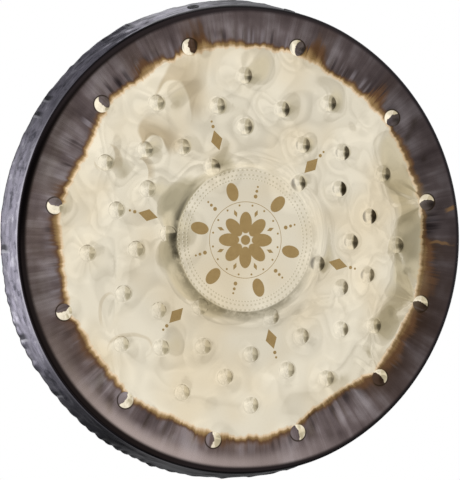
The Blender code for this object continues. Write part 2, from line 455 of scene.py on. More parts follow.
def dent_marks(places):
    """For each point its place in the nearest dent, and that dent's kind.

    The place is in dent radii: towards the dent's dark side, across it, and 5 away where
    no dent is near. The dark side is clockwise in the outermost circle, where oxide is left;
    elsewhere it is where painted shade falls, to the right on the right and towards the top
    on the left. The kind is from 1 to 1.3 in the outermost circle, more where less is
    polished; elsewhere it says how dark the painted shade and residue on the dark side are.
    """
    marks = np.tile(np.array([0.0, 0.0, 5.0]), (len(places), 1))
    kinds = np.zeros(len(places))
    random = np.random.default_rng(11)
    for centre, angle, number in DENTS:
        outermost = number == OUTERMOST
        turn = -angle if outermost else math.radians(80) * max(0.0, -math.sin(angle))
        dark_side = np.array([math.cos(turn), math.sin(turn)])
        across = np.array([-math.sin(turn), math.cos(turn)])
        off = (places - centre) / DENT_RADIUS
        near = np.hypot(*off.T) < 1.6
        marks[near] = np.stack(
            [off[near] @ dark_side, off[near] @ across, np.zeros(near.sum())], axis=-1
        )
        # How dark the painted shade and residue are, darkest on the right of the gong
        darkness = 0.38 + 0.30 * math.cos(angle - math.radians(65)) + random.uniform(-0.08, 0.08)
        kinds[near] = 1.15 + 0.15 * math.sin(angle) if outermost else darkness
    return marks, kinds


def face_relief(places, reach, angle, random):
    """What the hammer adds to the depth of the face and the boss."""
    on_face = 1 - ease(reach, 0.93 * RIM_RADIUS, BEND_CENTRE)
    off_boss = ease(reach, BOSS_FOOT * 0.93, BOSS_FOOT * 1.1)
    dented = hammered_depth(places, random)
    wide = lumps(places, random, *WIDE_LUMPS)
    small = lumps(places, random, *SMALL_LUMPS)
    calm = lumps(places, random, *BOSS_LUMPS)
    gentle = 1 - 0.5 * ease(np.cos(angle - CALM_SIDE), 0.2, 0.9)
    uneven = (wide + small) * gentle + hollows(places) - ridges(places)
    uneven = uneven + right_valley(places) + folds(reach, angle, random)
    return on_face * (dented + off_boss * uneven) + (1 - off_boss) * calm


def flange_relief(share, reach, angle, random):
    """How far the hammer drives the flange out, the more the larger the share of its depth."""
    beaten = scales(reach, angle, random) * ease(reach, FLANGE_START, FLANGE_START + 0.006)
    beaten = beaten * (1 - near_holes(reach, angle))
    waves = WAVE_HEIGHT * (0.6 * np.sin(9 * angle + 0.7) + 0.4 * np.sin(13 * angle + 2.1))
    scalloped = 0.15 + 0.85 * ease(np.cos(angle - SCALLOPED_SIDE), 0.72, 0.92)
    scallops = np.abs(np.sin(62 * angle + 2 * np.sin(7 * angle))) - 0.6
    scallops = SCALLOP_HEIGHT * scalloped * scallops
    notches = NOTCH_DEPTH * (np.sin(41 * angle) * np.sin(17 * angle + 1.3) - 0.6)
    out = share**2 * (waves + scallops) + share**3 * notches - NOTCH_DEPTH * share
    return out - beaten + creases(reach, angle, random)


def sheet():
    """The whole sheet as one mesh, with its thickness."""
    points = layout()
    flat, _, faces, *_ = delaunay_2d_cdt([Vector(p) for p in points], [], [], 0, 1e-7)
    places = np.array([tuple(p) for p in flat])
    corners = hole_faces(places, faces)
    reach = np.hypot(*places.T)
    angle = np.arctan2(places[:, 0], places[:, 1])
    radius, depth = meridian(reach)
    random = np.random.default_rng(5)
    depth = depth + face_relief(places, reach, angle, random)
    bulge = RIGHT_BULGE * ease(np.sin(angle), 0.0, 0.45) * ease(reach, 0.90 * RIM_RADIUS, BEND_CENTRE)
    radius = radius + bulge * (1 - ease(reach, FLANGE_START, FLANGE_START + 0.5 * FLANGE_LENGTH))
    share = np.maximum(reach - FLANGE_START - 0.03, 0) / (FLANGE_LENGTH - 0.03)
    out = flange_relief(share, reach, angle, random)
    turn = lean(reach)
    radius = radius + out * np.sin(turn)
    nicks = np.sin(23 * angle + 0.4) * np.sin(31 * angle) + 0.4 * np.sin(57 * angle)
    depth = depth - out * np.cos(turn) + EDGE_INSET * 0.6 * share**3 * nicks
    shape = np.stack([radius * np.sin(angle), depth, radius * np.cos(angle)], axis=-1)
    mesh = bpy.data.meshes.new("gong_sheet")
    mesh.from_pydata(shape.tolist(), [], corners.tolist())
    add_attribute(mesh, "edge", (reach - polish_edge(angle)) / RIM_RADIUS)
    add_attribute(mesh, "reach", reach / RIM_RADIUS)
    marks, kinds = dent_marks(places)
    add_attribute(mesh, "dent", marks)
    add_attribute(mesh, "dent_kind", kinds)
    made = placed("gong_sheet", mesh)
    solid = made.modifiers.new("thickness", "SOLIDIFY")
    solid.thickness = SHEET
    solid.offset = -1.0
    solid.material_offset = 1
    solid.material_offset_rim = 1
    mesh.shade_smooth()
    return made


# Materials

class Graph:
    """Short ways to add nodes to one material or world."""

    def __init__(self, owner):
        owner.use_nodes = True
        self.tree = owner.node_tree

    def feed(self, socket, value):
        if isinstance(value, bpy.types.NodeSocket):
            self.tree.links.new(value, socket)
        else:
            socket.default_value = value

    def fill(self, made, inputs):
        """Feeds a node's inputs by their names or numbers."""
        for name, value in inputs.items():
            self.feed(made.inputs[name], value)

    def add(self, kind, inputs, output=0, **settings):
        """Adds a node, feeds its inputs and returns one of its outputs."""
        made = self.tree.nodes.new(kind)
        for name, value in settings.items():
            setattr(made, name, value)
        self.fill(made, inputs)
        return made.outputs[output]

    def math(self, operation, *values, clamp=False):
        inputs = dict(enumerate(values))
        return self.add("ShaderNodeMath", inputs, operation=operation, use_clamp=clamp)

    def chain(self, operation, values):
        """One operation taken through all the numbers in turn."""
        total, *others = values
        for other in others:
            total = self.math(operation, total, other)
        return total

    def plus(self, *values):
        return self.chain("ADD", values)

    def times(self, *values):
        return self.chain("MULTIPLY", values)

    def most(self, values):
        return self.chain("MAXIMUM", values)

    def less(self, first, second):
        return self.math("SUBTRACT", first, second)

    def over(self, first, second):
        return self.math("DIVIDE", first, second)

    def off(self, value, middle):
        """Distance from a middle."""
        return self.math("ABSOLUTE", self.less(value, middle))

    def sway(self, noise, size):
        """Noise as a number that wanders about zero."""
        return self.times(self.less(noise, 0.5), size)

    def vector(self, operation, *values):
        output = "Value" if operation == "LENGTH" else "Vector"
        inputs = dict(enumerate(values))
        return self.add("ShaderNodeVectorMath", inputs, output, operation=operation)

    def scale(self, vector, factor):
        inputs = {0: vector, "Scale": factor}
        return self.add("ShaderNodeVectorMath", inputs, operation="SCALE")

    def combine(self, x, y, z=0.0):
        return self.add("ShaderNodeCombineXYZ", {"X": x, "Y": y, "Z": z})

    def separate(self, vector):
        made = self.tree.nodes.new("ShaderNodeSeparateXYZ")
        self.feed(made.inputs[0], vector)
        return made.outputs

    def noise(self, vector, scale, detail=2.0, rough=0.5):
        inputs = {"Vector": vector, "Scale": scale, "Detail": detail, "Roughness": rough}
        return self.add("ShaderNodeTexNoise", inputs, "Fac")

    def between(self, value, start, end, smooth=True):
        """0 at start, 1 at end."""
        inputs = {"Value": value, "From Min": start, "From Max": end}
        curve = "SMOOTHSTEP" if smooth else "LINEAR"
        return self.add("ShaderNodeMapRange", inputs, interpolation_type=curve)

    def mix(self, factor, first, second):
        """Colour from first at 0 to second at 1; a mix node's colours are inputs 6 and 7."""
        return self.add("ShaderNodeMix", {0: factor, 6: first, 7: second}, 2, data_type="RGBA")

    def blend(self, factor, first, second):
        """Number from first at 0 to second at 1."""
        return self.add("ShaderNodeMix", {0: factor, 2: first, 3: second}, data_type="FLOAT")

    def lay(self, base, tone, *masks):
        """The base colour, with a tone laid over it where all the masks are 1."""
        return self.mix(self.times(*masks), base, tone)

    def ramp(self, factor, stops):
        made = self.tree.nodes.new("ShaderNodeValToRGB")
        elements = made.color_ramp.elements
        while len(elements) < len(stops):
            elements.new(0.5)
        for element, (place, colour) in zip(elements, stops):
            element.position = place
            element.color = colour
        self.feed(made.inputs[0], factor)
        return made.outputs[0]

    def bump(self, height, strength, distance, normal=None):
        inputs = {"Height": height, "Strength": strength, "Distance": distance}
        if normal is not None:
            inputs["Normal"] = normal
        return self.add("ShaderNodeBump", inputs)


class GongGraph(Graph):
    """A material's nodes with the gong's own coordinates.

    The radius is in rim radii. The angle runs clockwise from the top, turn is the same in
    whole turns, and unit holds its sine and cosine.
    """

    def __init__(self, owner):
        super().__init__(owner)
        self.place = self.add("ShaderNodeTexCoord", {}, "Object")
        self.x, _, self.z = self.separate(self.place)
        flat = self.combine(self.x, self.z)
        self.radius = self.over(self.vector("LENGTH", flat), RIM_RADIUS)
        self.unit = self.vector("NORMALIZE", flat)
        self.angle = self.math("ARCTAN2", self.x, self.z)
        self.turn = self.over(self.math("MODULO", self.plus(self.angle, TAU), TAU), TAU)

    def streaks(self, fineness, length, detail=3.0):
        """Noise drawn out along the radius."""
        sine, cosine, _ = self.separate(self.scale(self.unit, fineness))
        along = self.times(self.radius, 1 / length)
        return self.noise(self.combine(sine, cosine, along), 1.0, detail, 0.55)

    def by_clock(self, stops):
        """A number that follows the clock angle through the given stops and back to the first."""
        closed = (*stops, (360, stops[0][1]))
        greys = [(hour / 360, (value, value, value, 1.0)) for hour, value in closed]
        return self.ramp(self.turn, greys)

    def patches(self, wander, spots):
        """Soft patches at given clock angles: 0 to the strongest patch's strength."""
        shifted = self.plus(self.angle, self.sway(wander, PATCH_WANDER))
        masks = []
        for hour, half_width, strength in spots:
            chord = self.less(1.0, self.math("COSINE", self.less(shifted, math.radians(hour))))
            edge = 1 - math.cos(math.radians(half_width))
            masks.append(self.times(self.between(chord, edge, 0.1 * edge), strength))
        return self.most(masks)

    def folded(self, count, phase=0.0):
        """Place along and across the nearest of count evenly spaced spokes, in rim radii."""
        sector = TAU / count
        turned = self.plus(self.angle, sector / 2 + phase + TAU)
        away = self.less(self.math("MODULO", turned, sector), sector / 2)
        along = self.times(self.radius, self.math("COSINE", away))
        return along, self.times(self.radius, self.math("SINE", away))


class FaceGraph(GongGraph):
    """The same, with what the sheet's mesh carries and the noises that several layers share."""

    def __init__(self, owner):
        super().__init__(owner)
        self.reach = self.carried("reach")
        self.edge = self.carried("edge")
        self.dent = self.carried("dent", "Vector")
        self.kind = self.carried("dent_kind")
        self.broad = self.streaks(6.0, 0.8, 1.0)
        self.sweep = self.streaks(15.0, 0.7, 2.0)
        self.hairs = self.streaks(90.0, 0.5)
        self.cloud = self.noise(self.place, 16.0, 3.0)
        self.blot = self.noise(self.place, 150.0, 3.0)

    def carried(self, name, output="Fac"):
        return self.add("ShaderNodeAttribute", {}, output, attribute_name=name)


def srgb(code):
    """A colour written as six hex digits, as the shader wants it."""
    channels = [int(code[i : i + 2], 16) / 255 for i in (0, 2, 4)]
    linear = [c / 12.92 if c <= 0.04045 else ((c + 0.055) / 1.055) ** 2.4 for c in channels]
    return (*linear, 1.0)


# Polished middle
POLISHED = srgb("EAE1CC")
POLISHED_WARM = srgb("E6D8BC")
BARE = srgb("FBF0D8")
# Oxide residue in the inner dents, darkened with painted shade on their dark side
RESIDUE_AND_SHADE = srgb("6E5E40")
RESIDUE_AND_SHADE_DARK = srgb("3C3222")
# Painted shade round the outer dents' rims, partly oxide in them
DENT_RIM_SHADE = srgb("2E2418")
# Painted shade on the boss's wall, in the trough on the right and in the sails
BOSS_WALL_SHADE = srgb("6C644A")
TROUGH_SHADE = srgb("B7AA8B")
SAIL_SHADE = srgb("C0AE8E")
PUNCHED = srgb("9C9478")
INK = srgb("94794A")
INK_LIGHT = srgb("A48A5A")
# Fringe
HALO = srgb("E6CBA8")
FRINGE = srgb("A88A5E")
FRINGE_DEEP = srgb("664A34")
# Oxidised ring
BROWN = srgb("4A382C")
OXIDE = srgb("665B5B")
OXIDE_LIGHT = srgb("8F8688")
OXIDE_DARK = srgb("463C3C")
# Painted highlight on the ring near the shoulder
RING_HIGHLIGHT = srgb("AA9C9A")
# Painted highlight on the pleats; burnt patches, and painted shade in the pleats' creases
PLEAT_HIGHLIGHT = srgb("938B90")
CHARRED_AND_CREASE_SHADE = srgb("1E191B")
GOLD_LINE = srgb("8A6A44")
# Shoulder and flange
SHOULDER = srgb("2C2628")
# Painted highlight on the crease between shoulder and flange
CREASE_HIGHLIGHT = srgb("D0CCD4")
FLANGE_DARK = srgb("5E5C66")
FLANGE = srgb("9894A0")
FLANGE_LIGHT = srgb("C4C1CA")
FLANGE_LINE = srgb("34343A")
FLANGE_REAR = srgb("2C2E32")
LAP_SHADOW = srgb("1E2024")
LAP_GLINT = srgb("E4E2E8")
# Back
BACK_DARK = srgb("625654")
BACK = srgb("8E8280")
BACK_LIGHT = srgb("BCB0AE")
BACK_BROWN = srgb("94765C")
# Grommets and floor
RUBBER = srgb("38383B")
RUBBER_LIGHT = srgb("4A4A4E")
PAPER = srgb("E9E9E7")

# A row of the tables below starts with a clock angle in degrees, unless its comment says
# otherwise. The polish by that angle: its painted light and shade at the boss's foot, near it
# and out to the edge, and how strong the painted shade is on the boss's wall and in the
# trough on the right
FOOT_SHADING = (
    (0, 1.0), (60, 0.97), (100, 0.92), (140, 0.84), (190, 0.86),
    (230, 0.98), (265, 1.1), (310, 1.08), (340, 1.0),
)
NEAR_SHADING = (
    (0, 1.0), (50, 0.96), (110, 0.95), (160, 0.91), (210, 0.97),
    (245, 0.95), (280, 1.03), (340, 1.03),
)
OUTER_SHADING = (
    (0, 0.99), (60, 0.95), (105, 0.98), (150, 1.03), (200, 1.06),
    (240, 1.02), (300, 1.02), (335, 1.03),
)
BOSS_WALL_SHADING = (
    (0, 0.0), (60, 0.15), (112, 0.35), (150, 0.5), (190, 0.6),
    (225, 0.5), (264, 0.8), (290, 0.2), (310, 0.0),
)
TROUGH_SHADING = ((0, 0.0), (52, 0.0), (62, 0.3), (72, 0.65), (112, 0.6), (124, 0.2), (136, 0.0))
# Sails are patches of painted shade between dents, standing for dark reflections, each a
# pointed oval less another oval. A row has both ovals as x, z and half sizes in metres, the
# first one's power and the strength
SAILS = (
    ((-0.0990, 0.245, 0.064, 0.070), (-0.1340, 0.200, 0.036, 0.060), 1.4, 0.7),
    ((-0.1520, 0.172, 0.043, 0.048), (-0.1680, 0.135, 0.030, 0.038), 1.5, 0.9),
    ((-0.1780, 0.114, 0.019, 0.026), (-0.1870, 0.112, 0.014, 0.024), 2.0, 0.6),
    ((-0.2440, 0.130, 0.027, 0.027), (-0.2520, 0.137, 0.021, 0.021), 2.0, 0.45),
    ((-0.2400, -0.125, 0.018, 0.034), (-0.2365, -0.127, 0.0145, 0.031), 2.0, 0.38),
    ((-0.2003, -0.184, 0.039, 0.028), (-0.2003, -0.188, 0.036, 0.0245), 2.0, 0.38),
)
# Creases that run inwards from outer dents: the dent's angle, length in metres, strength
PUCKERS = ((78, 0.085, 0.7), (108, 0.090, 0.3), (133, 0.075, 0.45))
PUCKER_HEIGHT = 0.035  # of a crease, as a share of its distance from the dent

# The fringe: how ragged it is, how far it has gone from gold to brown, and where the brush
# drew flares out of it, with their half width in degrees and strength
FRINGE_TEETH = ((0, 1.0), (45, 0.7), (80, 0.35), (150, 0.35), (180, 0.8), (240, 1.0))
FRINGE_BURNS = (
    (0, 0.1), (42, 0.1), (56, 0.6), (84, 0.7), (104, 0.4), (150, 0.3), (168, 0.1),
)
FLARES = (
    (345, 4.5, 1.0), (327, 3.0, 0.6), (21, 3.5, 0.7), (44, 3.0, 0.6),
    (100, 9.0, 0.4), (120, 9.0, 0.25), (190, 8.0, 0.25), (272, 6.0, 0.3),
)

# The oxidised ring: its painted light and shade with uneven patina, its painted shade and
# painted highlight towards the shoulder, how strong the pleats' painted crease shade and
# highlights beside the fringe are, and how creased it is
RING_SHADING_AND_PATINA = (
    (0, 1.1), (22, 0.95), (50, 0.62), (100, 0.56), (130, 0.75), (150, 1.25), (165, 1.25), (190, 1.45),
    (222, 1.35), (240, 1.3), (255, 1.0), (270, 1.55), (285, 1.15), (320, 1.1), (345, 1.3),
)
RING_SHADE = ((0, 0.4), (100, 0.4), (150, 0.0), (240, 0.0), (270, 0.2))
RING_HIGHLIGHT_BY_CLOCK = ((0, 0.0), (150, 0.0), (178, 0.6), (215, 0.8), (238, 0.3), (258, 0.0))
PLEATS = (
    (0, 0.55), (20, 0.45), (45, 0.6), (56, 0.1), (90, 0.1), (135, 0.2), (150, 0.5),
    (180, 0.3), (230, 0.25), (270, 0.5), (300, 0.75), (330, 0.5),
)
CRUMPLED = (
    (0, 1.0), (50, 0.6), (80, 0.4), (130, 0.4), (150, 1.0), (170, 0.6), (240, 0.5), (280, 1.0),
)
# Its brown patches, burnt patches and thin gold lines: half width in degrees and strength
RING_PATCHES = (
    (344, 4, 1.0), (326, 3, 0.7), (22, 4, 0.8), (44, 4, 0.6), (92, 4, 1.0), (108, 16, 1.0),
    (130, 12, 1.0), (183, 20, 0.35), (242, 16, 0.5), (270, 8, 0.15), (284, 3, 0.8),
)
BURNS = ((84.2, 3.6, 0.85), (317, 2.0, 0.5), (297, 1.6, 0.4))
GOLD_LINES = ((81.4, 0.8, 0.7), (90.4, 0.6, 0.5))
PATCH_WANDER = math.radians(5)  # of the edges of patches, burns, lines and laps

# How much farther out the black shoulder and the grey flange begin, in rim radii
BAND_SHIFT = ((0, 0.007), (150, 0.007), (180, 0.0), (345, 0.0))
FLANGE_SHIFT = (
    (0, 0.045), (30, 0.020), (150, 0.030), (165, 0.080), (195, 0.060),
    (212, 0.014), (228, 0.0), (325, 0.0), (345, 0.015),
)
# The flange: its painted light and shade, how dark the painted shade on its rear half is, how
# strong its dark lines are, and how strong the painted highlight on the crease between it
# and the shoulder
FLANGE_SHADING = (
    (0, 0.7), (14, 0.5), (30, 0.3), (150, 0.1), (180, 0.06), (200, 0.17), (211, 0.15), (226, 0.44),
    (240, 1.8), (255, 1.7), (285, 1.35), (300, 1.05), (315, 1.7), (330, 1.3), (345, 1.2),
)
REAR_SHADE = ((0, 0.35), (170, 0.6), (205, 0.7), (236, 0.6), (256, 0.2), (290, 0.3))
FLANGE_LINES = ((0, 0.8), (30, 0.5), (200, 0.3), (300, 0.25), (325, 0.6))
CREASE_HIGHLIGHT_BY_CLOCK = ((0, 0.0), (180, 0.0), (200, 0.5), (235, 0.9), (300, 0.7), (330, 0.0))
LAPS = (229, 245, 266.5, 299.5, 304, 331)  # clock angles where the beaten sheet overlaps

PRINT_SOFTNESS = 0.0012  # of the printed shapes' edges, in rim radii
PETALS = 8
SPRAYS = 6
SPRAY_TURN = math.radians(17)
# Rows of punch marks round the boss: radius in rim radii, how many, half width
PUNCH_ROWS = ((0.261, 120, 0.0034), (0.277, 92, 0.0050), (0.2975, 92, 0.0052))


def oval(gong, spoke, middle, half_length, half_width, lozenge=False):
    """1 inside an oval or a lozenge that lies along a spoke."""
    along, across = spoke
    first = gong.over(gong.less(along, middle), half_length)
    second = gong.over(across, half_width)
    if lozenge:
        size = gong.plus(gong.math("ABSOLUTE", first), gong.math("ABSOLUTE", second))
    else:
        size = gong.vector("LENGTH", gong.combine(first, second))
    soft = PRINT_SOFTNESS / min(half_length, half_width)
    return gong.between(size, 1 + soft, 1 - soft)


def ornament(gong):
    """The printed pattern: a flower of eight petals in a ring of dots, and six sprays round it."""
    petals = gong.folded(PETALS)
    sepals = gong.folded(PETALS, math.pi / PETALS)
    dots = gong.folded(2 * PETALS, math.pi / (2 * PETALS))
    sprays = gong.folded(SPRAYS, SPRAY_TURN)
    gaps = gong.folded(SPRAYS, SPRAY_TURN + math.pi / SPRAYS)
    circle_off = gong.off(gong.radius, 0.162)
    shapes = [
        oval(gong, petals, 0.074, 0.046, 0.0275),
        oval(gong, petals, 0.0, 0.021, 0.021),
        oval(gong, sepals, 0.121, 0.017, 0.008, lozenge=True),
        oval(gong, dots, 0.149, 0.0045, 0.0045),
        gong.between(circle_off, 0.0018, 0.0006),
        oval(gong, sprays, 0.211, 0.040, 0.026),
        oval(gong, sprays, 0.440, 0.044, 0.026, lozenge=True),
    ]
    for middle, size in ((0.190, 0.0085), (0.213, 0.0065), (0.232, 0.0045)):
        shapes.append(oval(gong, gaps, middle, size, size))
    for middle, size in ((0.500, 0.0075), (0.522, 0.0050)):
        shapes.append(oval(gong, sprays, middle, size, size))
    return gong.most(shapes)


def punched(gong):
    """1 in the punch marks round the boss."""
    marks = []
    for step, (middle, count, size) in enumerate(PUNCH_ROWS):
        spokes = gong.folded(count, step * math.pi / PUNCH_ROWS[-1][1])
        marks.append(oval(gong, spokes, middle, size * 0.8, size))
    return gong.most(marks)


def principled(name, graph_kind=Graph):
    made = bpy.data.materials.new(name)
    graph = graph_kind(made)
    return made, graph, graph.tree.nodes["Principled BSDF"]


def sails(gong):
    """Where painted shade falls between dents on the left."""
    wobble = gong.less(gong.noise(gong.place, 19.0, 1.0), 0.5)
    masks = []
    for outer, inner, power, strength in SAILS:
        offs = []
        for middle_x, middle_z, half_x, half_z in (outer, inner):
            aside = gong.over(gong.less(gong.x, middle_x), half_x)
            offs.append((aside, gong.over(gong.less(gong.z, middle_z), half_z)))
        powers = [gong.math("POWER", gong.math("ABSOLUTE", off), power) for off in offs[0]]
        outer_size = gong.plus(*powers, wobble)
        inner_size = gong.plus(gong.vector("LENGTH", gong.combine(*offs[1])), wobble)
        sail = gong.times(
            gong.between(outer_size, 1.08, 0.86),
            gong.between(inner_size, 0.96, 1.08),
            gong.between(inner_size, 2.3, 1.2),
            gong.between(offs[0][1], -0.80, -0.20),
            strength,
        )
        masks.append(sail)
    return gong.times(gong.most(masks), gong.between(gong.edge, 0.0, -0.02))


def puckers(gong):
    """Height of the creases that run inwards from the outer dents on the right."""
    creases = []
    for hour, length, strength in PUCKERS:
        middle = clock(math.radians(hour), DENT_CIRCLES[-1][0] * RIM_RADIUS) + DENT_SHIFT
        aside = gong.less(gong.x, float(middle[0]))
        spoke = gong.combine(aside, gong.less(gong.z, float(middle[1])))
        off = gong.vector("LENGTH", spoke)
        turned = gong.scale(gong.vector("NORMALIZE", spoke), 1.7)
        turned = gong.vector("ADD", turned, gong.combine(gong.times(off, 7.0), hour))
        crease = gong.times(
            gong.between(gong.noise(turned, 1.0, 0.0), 0.38, 0.60),
            off,
            gong.between(off, length, 0.3 * length),
            gong.between(off, DENT_RADIUS, 1.4 * DENT_RADIUS),
            strength,
        )
        creases.append(crease)
    return gong.times(gong.plus(*creases), gong.between(gong.edge, 0.010, -0.015))


def worn_edge(gong):
    """How far each place lies outside the polish, in rim radii, feathered by the brush."""
    feather = gong.sway(gong.streaks(42.0, 0.16, 2.0), 0.022)
    notch = gong.sway(gong.streaks(19.0, 0.5, 1.0), 0.040)
    notch = gong.times(notch, gong.by_clock(FRINGE_TEETH))
    return gong.plus(gong.edge, feather, notch, gong.sway(gong.broad, 0.014))


def dent_masks(gong):
    """Masks from 0 to 1 of the dents' polish, their dark side, and their residue with painted shade.

    In the outermost circle a dent is spared by the oxide and dark on one side, with an
    outline of painted shade, partly oxide in its rim, on its outer side. In the others its
    dark side holds oxide residue and painted shade, and its rim a thin line of the same.
    """
    tangent, outward, away = gong.separate(gong.dent)
    off = gong.vector("LENGTH", gong.dent)
    in_dent = gong.between(off, 1.04, 0.98)
    outermost = gong.math("GREATER_THAN", gong.kind, 0.8)
    rough_edge = gong.sway(gong.blot, 0.45)
    shift = gong.less(tangent, gong.less(2.7, gong.kind))
    reached = gong.plus(gong.vector("LENGTH", gong.combine(shift, outward, away)), rough_edge)
    inner = gong.times(in_dent, gong.less(1.0, outermost))
    limit = gong.less(0.8, gong.times(gong.kind, 0.8))
    # Oxide residue and painted shade on the dent's dark side
    residue_and_shade = gong.between(gong.plus(tangent, rough_edge), limit, gong.plus(limit, 0.3))
    thin = gong.times(
        gong.between(gong.off(off, 0.99), 0.10, 0.03),
        gong.between(gong.kind, 0.8, 0.1),
        gong.between(gong.blot, 0.35, 0.6),
        gong.blend(gong.between(tangent, -0.1, 0.7), 0.2, 1.0),
    )
    # Painted shade round the outer side of the outermost dents, partly oxide in their rims
    outline = gong.times(
        gong.between(gong.off(off, 1.07), 0.14, 0.04),
        outermost,
        gong.between(gong.edge, -0.012, 0.004),
        gong.blend(gong.between(outward, -0.5, 0.4), 0.25, 1.0),
    )
    return SimpleNamespace(
        spared=gong.times(in_dent, outermost),
        dark=gong.between(reached, 1.72, 1.60),
        inner=inner,
        residue_and_shade=gong.times(residue_and_shade, inner, gong.math("MULTIPLY", gong.kind, 1.3, clamp=True)),
        thin=thin,
        outline=outline,
    )


def polish_colour(gong):
    """The polished middle, with painted light and shade by radius and clock angle."""
    warm = gong.between(gong.noise(gong.place, 7.0), 0.4, 0.7)
    # Painted light and shade by radius and clock angle, darker round the boss's foot below it
    light = gong.by_clock(NEAR_SHADING)
    light = gong.blend(gong.between(gong.radius, 0.50, 0.60), light, gong.by_clock(OUTER_SHADING))
    light = gong.blend(gong.between(gong.radius, 0.41, 0.37), light, gong.by_clock(FOOT_SHADING))
    light = gong.blend(gong.between(gong.radius, 0.31, 0.29), light, 1.0)
    return gong.vector("MULTIPLY", gong.lay(POLISHED, POLISHED_WARM, warm), light)


def ring_colour(gong, worn, patch):
    """The oxidised ring: streaks, brown and burnt patches, painted light and shade,
    pleats drawn with painted crease shade and highlights, and gold lines.
    """
    tone = gong.plus(
        gong.times(gong.sweep, 0.4), gong.times(gong.hairs, 0.12), gong.times(gong.cloud, 0.48)
    )
    oxide = gong.ramp(tone, ((0.36, OXIDE_DARK), (0.5, OXIDE), (0.64, OXIDE_LIGHT)))
    shaded = gong.between(gong.reach, 0.90, 0.955)
    oxide = gong.lay(oxide, OXIDE_DARK, shaded, gong.by_clock(RING_SHADE))
    # Painted highlight on the outer ring near the shoulder at the bottom, where it faces the floor
    highlit = gong.between(gong.reach, 0.89, 0.95)
    oxide = gong.lay(oxide, RING_HIGHLIGHT, highlit, gong.by_clock(RING_HIGHLIGHT_BY_CLOCK))
    brown = gong.lay(BROWN, FRINGE_DEEP, gong.between(worn, 0.07, 0.02))
    inner_side = gong.between(gong.reach, 0.95, 0.86)
    oxide = gong.lay(oxide, brown, patch, gong.blend(inner_side, 0.35, 0.9))
    # Painted light and shade by clock angle, with uneven patina
    oxide = gong.vector("MULTIPLY", oxide, gong.by_clock(RING_SHADING_AND_PATINA))
    burnt = gong.times(gong.between(gong.reach, 0.94, 0.86), gong.between(gong.hairs, 0.60, 0.40))
    oxide = gong.lay(oxide, CHARRED_AND_CREASE_SHADE, gong.patches(gong.cloud, BURNS), burnt)
    # Pleats: painted shade in their creases and painted highlights on their folds
    pleat = gong.streaks(30.0, 0.55, 1.0)
    pleated = gong.times(gong.between(gong.edge, 0.090, 0.040), gong.by_clock(PLEATS))
    oxide = gong.lay(oxide, CHARRED_AND_CREASE_SHADE, gong.between(pleat, 0.44, 0.34), pleated)
    oxide = gong.lay(oxide, PLEAT_HIGHLIGHT, gong.between(pleat, 0.56, 0.68), pleated)
    gold = gong.patches(gong.cloud, GOLD_LINES)
    return gong.lay(oxide, GOLD_LINE, gold, gong.between(gong.cloud, 0.44, 0.56))


def fringe_width(gong):
    """A factor on the fringe's width: uneven, and wide in the flares."""
    uneven = gong.between(gong.noise(gong.place, 22.0), 0.3, 0.7)
    flare = gong.times(gong.patches(gong.hairs, FLARES), gong.between(gong.hairs, 0.15, 0.60))
    return gong.times(gong.blend(uneven, 0.6, 1.3), gong.blend(flare, 1.0, 3.4))


def flange_colour(gong):
    """The beaten flange: mottled grey with dark lines, painted light and shade, painted shade
    on its rear half, and laps drawn with painted glints and shadows.
    """
    beaten = gong.noise(gong.place, 38.0, 4.0, 0.65)
    tones = ((0.34, FLANGE_DARK), (0.46, FLANGE), (0.56, FLANGE), (0.68, FLANGE_LIGHT))
    # Painted light and shade by clock angle
    flange = gong.vector("MULTIPLY", gong.ramp(beaten, tones), gong.by_clock(FLANGE_SHADING))
    drawn = gong.combine(gong.times(gong.angle, 11.0), gong.times(gong.reach, 48.0))
    lines = gong.between(gong.noise(drawn, 1.0), 0.50, 0.60)
    flange = gong.lay(flange, FLANGE_LINE, lines, gong.by_clock(FLANGE_LINES))
    rear = gong.between(gong.reach, 1.09, 1.168)
    flange = gong.lay(flange, FLANGE_REAR, rear, gong.by_clock(REAR_SHADE))
    on_lap = gong.between(gong.reach, 1.06, 1.12)
    wavy = gong.blend(gong.noise(gong.place, 60.0), 0.42, 0.58)
    for tone, lag, half_width, strength in ((LAP_SHADOW, 0.8, 1.0, 0.8), (LAP_GLINT, 0.0, 0.45, 0.7)):
        laps = gong.patches(wavy, [(hour + lag, half_width, strength) for hour in LAPS])
        flange = gong.lay(flange, tone, laps, on_lap)
    return flange


def with_painted_shade(gong, colour):
    """The colour with painted shade on the boss's wall, in the trough on the right and in the sails.
    """
    # Painted shade on the boss's wall, mottled
    colour = gong.lay(
        colour,
        BOSS_WALL_SHADE,
        gong.between(gong.radius, 0.352, 0.308),
        gong.between(gong.radius, 0.300, 0.308),
        gong.between(gong.noise(gong.place, 70.0, 4.0, 0.7), 0.24, 0.60),
        gong.by_clock(BOSS_WALL_SHADING),
    )
    # Painted shade in the trough on the right, inside its wavy near side
    wave = gong.times(gong.plus(gong.angle, -math.radians(VALLEY_CREST)), 360 / VALLEY_WAVE)
    wave = gong.times(gong.math("COSINE", wave), VALLEY_SWING)
    inside = gong.less(gong.radius, gong.plus(wave, 0.700, gong.sway(gong.cloud, 0.10)))
    colour = gong.lay(
        colour,
        TROUGH_SHADE,
        gong.between(inside, 0.0, 0.010),
        gong.between(inside, 0.17, 0.02),
        gong.blend(gong.between(gong.broad, 0.4, 0.6), 0.5, 1.0),
        gong.by_clock(TROUGH_SHADING),
    )
    # Painted shade in the sails
    return gong.lay(colour, SAIL_SHADE, sails(gong))


